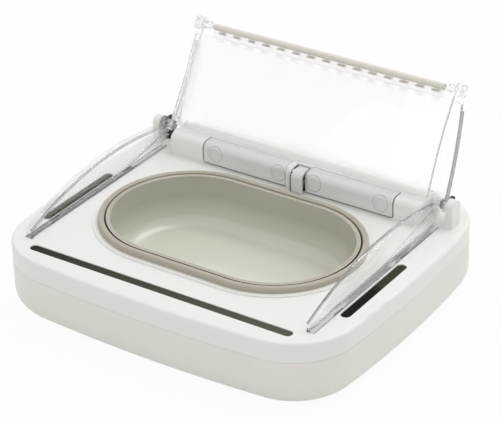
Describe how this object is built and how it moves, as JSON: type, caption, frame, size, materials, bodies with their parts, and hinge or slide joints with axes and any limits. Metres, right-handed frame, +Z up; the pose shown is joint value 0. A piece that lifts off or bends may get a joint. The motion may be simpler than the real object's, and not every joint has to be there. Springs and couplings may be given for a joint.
{
  "type": "motion sensor pet bowl",
  "caption": "Covered pet feeding bowl: low rounded casing, oval bowl, sensor windows and a clear folding lid that a hidden drive raises.",
  "frame": {"origin": "on the table under the middle of the casing's footprint", "axes": "+X to the right seen from the front, +Y to the back, +Z up"},
  "size_m": [0.23, 0.199, 0.1176],
  "materials": {
    "white_shell": "smooth moulded ABS, satin",
    "greige_base": "smooth moulded ABS, satin, warm light grey",
    "taupe_trim": "soft moulded trim, dull taupe",
    "bowl_enamel": "glossy moulded bowl, pale grey-green",
    "clear_plastic": "clear moulded polycarbonate",
    "smoked_window": "dark infrared filter plastic, glossy",
    "black_nylon": "black moulded nylon",
    "steel": "plated steel",
    "black_rubber": "soft rubber",
    "circuit_board": "green solder mask",
    "led_epoxy": "dark tinted epoxy",
    "cell_jacket": "plain grey shrink sleeve",
    "contact_nickel": "nickel plated spring strip",
    "motor_can": "drawn steel can",
    "lamp_amber": "frosted light pipe"
  },
  "bodies": {
    "casing": {"lower_casing": "greige_base", "upper_casing": "white_shell", "casing_screws": "steel", "rubber_feet": "black_rubber", "bowl_collar": "taupe_trim", "front_window": "smoked_window", "right_window": "smoked_window", "left_window": "smoked_window", "front_sensor_board": "circuit_board", "right_sensor_board": "circuit_board", "left_sensor_board": "circuit_board", "front_sensor_eyes": "led_epoxy", "right_sensor_eyes": "led_epoxy", "left_sensor_eyes": "led_epoxy", "button_switch": "black_nylon", "lamp_lens": "lamp_amber", "button_board": "circuit_board", "main_board": "circuit_board", "latch_spring": "steel", "right_front_cell": "cell_jacket", "left_front_cell": "cell_jacket", "right_rear_cell": "cell_jacket", "left_rear_cell": "cell_jacket", "right_inner_contact": "contact_nickel", "left_inner_contact": "contact_nickel", "right_outer_contact": "contact_nickel", "left_outer_contact": "contact_nickel", "right_hinge_pin": "steel", "left_hinge_pin": "steel", "right_side_shield": "clear_plastic", "left_side_shield": "clear_plastic", "motor": "motor_can"},
    "rear_lid": {"rear_lid_panel": "clear_plastic", "fold_strip": "taupe_trim", "right_fold_knob": "clear_plastic", "left_fold_knob": "clear_plastic", "right_hub_gear": "black_nylon", "left_hub_gear": "black_nylon"},
    "front_lid": {"front_lid_panel": "clear_plastic"},
    "right_rack": {"right_lid_rack": "black_nylon"},
    "left_rack": {"left_lid_rack": "black_nylon"},
    "drive_shaft": {"cross_shaft": "steel", "right_shaft_gear": "black_nylon", "left_shaft_gear": "black_nylon", "drive_wheel": "black_nylon"},
    "motor_rotor": {"motor_pinion": "black_nylon"},
    "right_door": {"right_battery_door": "white_shell"},
    "left_door": {"left_battery_door": "white_shell"},
    "latch": {"door_latch": "white_shell"},
    "button": {"rear_button": "white_shell"},
    "bowl_body": {"bowl": "bowl_enamel"}
  },
  "joints": [
    {"name": "lid_lift", "type": "hinge", "parent": "casing", "child": "rear_lid", "pos_m": [0, 0.0635, 0.055], "axis": [-1, 0, 0], "range_deg": [-108, 0]},
    {"name": "lid_fold", "type": "hinge", "parent": "rear_lid", "child": "front_lid", "pos_m": [0, 0.09291, 0.11308], "axis": [1, 0, 0], "range_deg": [-158.9, 0]},
    {"name": "right_rack_slide", "type": "slide", "parent": "casing", "child": "right_rack", "axis": [0, 0, 1], "range_m": [0, 0.0076]},
    {"name": "left_rack_slide", "type": "slide", "parent": "casing", "child": "left_rack", "axis": [0, 0, 1], "range_m": [0, 0.0076]},
    {"name": "drive_shaft_spin", "type": "hinge", "parent": "casing", "child": "drive_shaft", "pos_m": [0, 0.0759, 0.022], "axis": [1, 0, 0], "range_deg": [-108.5, 0]},
    {"name": "motor_spin", "type": "hinge", "parent": "casing", "child": "motor_rotor", "pos_m": [-0.0715, 0.0639, 0.022], "axis": [1, 0, 0], "range_deg": [0, 325]},
    {"name": "right_door_lift", "type": "slide", "parent": "casing", "child": "right_door", "axis": [0, -0.7071, 0.7071], "range_m": [0, 0.012]},
    {"name": "left_door_lift", "type": "slide", "parent": "casing", "child": "left_door", "axis": [0, -0.7071, 0.7071], "range_m": [0, 0.012]},
    {"name": "latch_push", "type": "slide", "parent": "casing", "child": "latch", "axis": [0, 1, 0], "range_m": [0, 0.0015], "stiffness_N_per_m": 800, "springref_m": -0.001, "deforming": ["latch_spring"]},
    {"name": "button_push", "type": "slide", "parent": "casing", "child": "button", "axis": [0, 0, -1], "range_m": [0, 0.0012], "stiffness_N_per_m": 800, "springref_m": -0.001},
    {"name": "bowl_lift", "type": "slide", "parent": "casing", "child": "bowl_body", "axis": [0, 0, 1], "range_m": [0, 0.05]}
  ],
  "couplings": [
    {"joint": "lid_fold", "follows": "lid_lift", "ratio": 1.47},
    {"joint": "right_rack_slide", "follows": "lid_lift", "m_per_rad": -0.004},
    {"joint": "left_rack_slide", "follows": "lid_lift", "m_per_rad": -0.004},
    {"joint": "drive_shaft_spin", "follows": "lid_lift", "ratio": 1},
    {"joint": "motor_spin", "follows": "lid_lift", "ratio": -3}
  ]
}
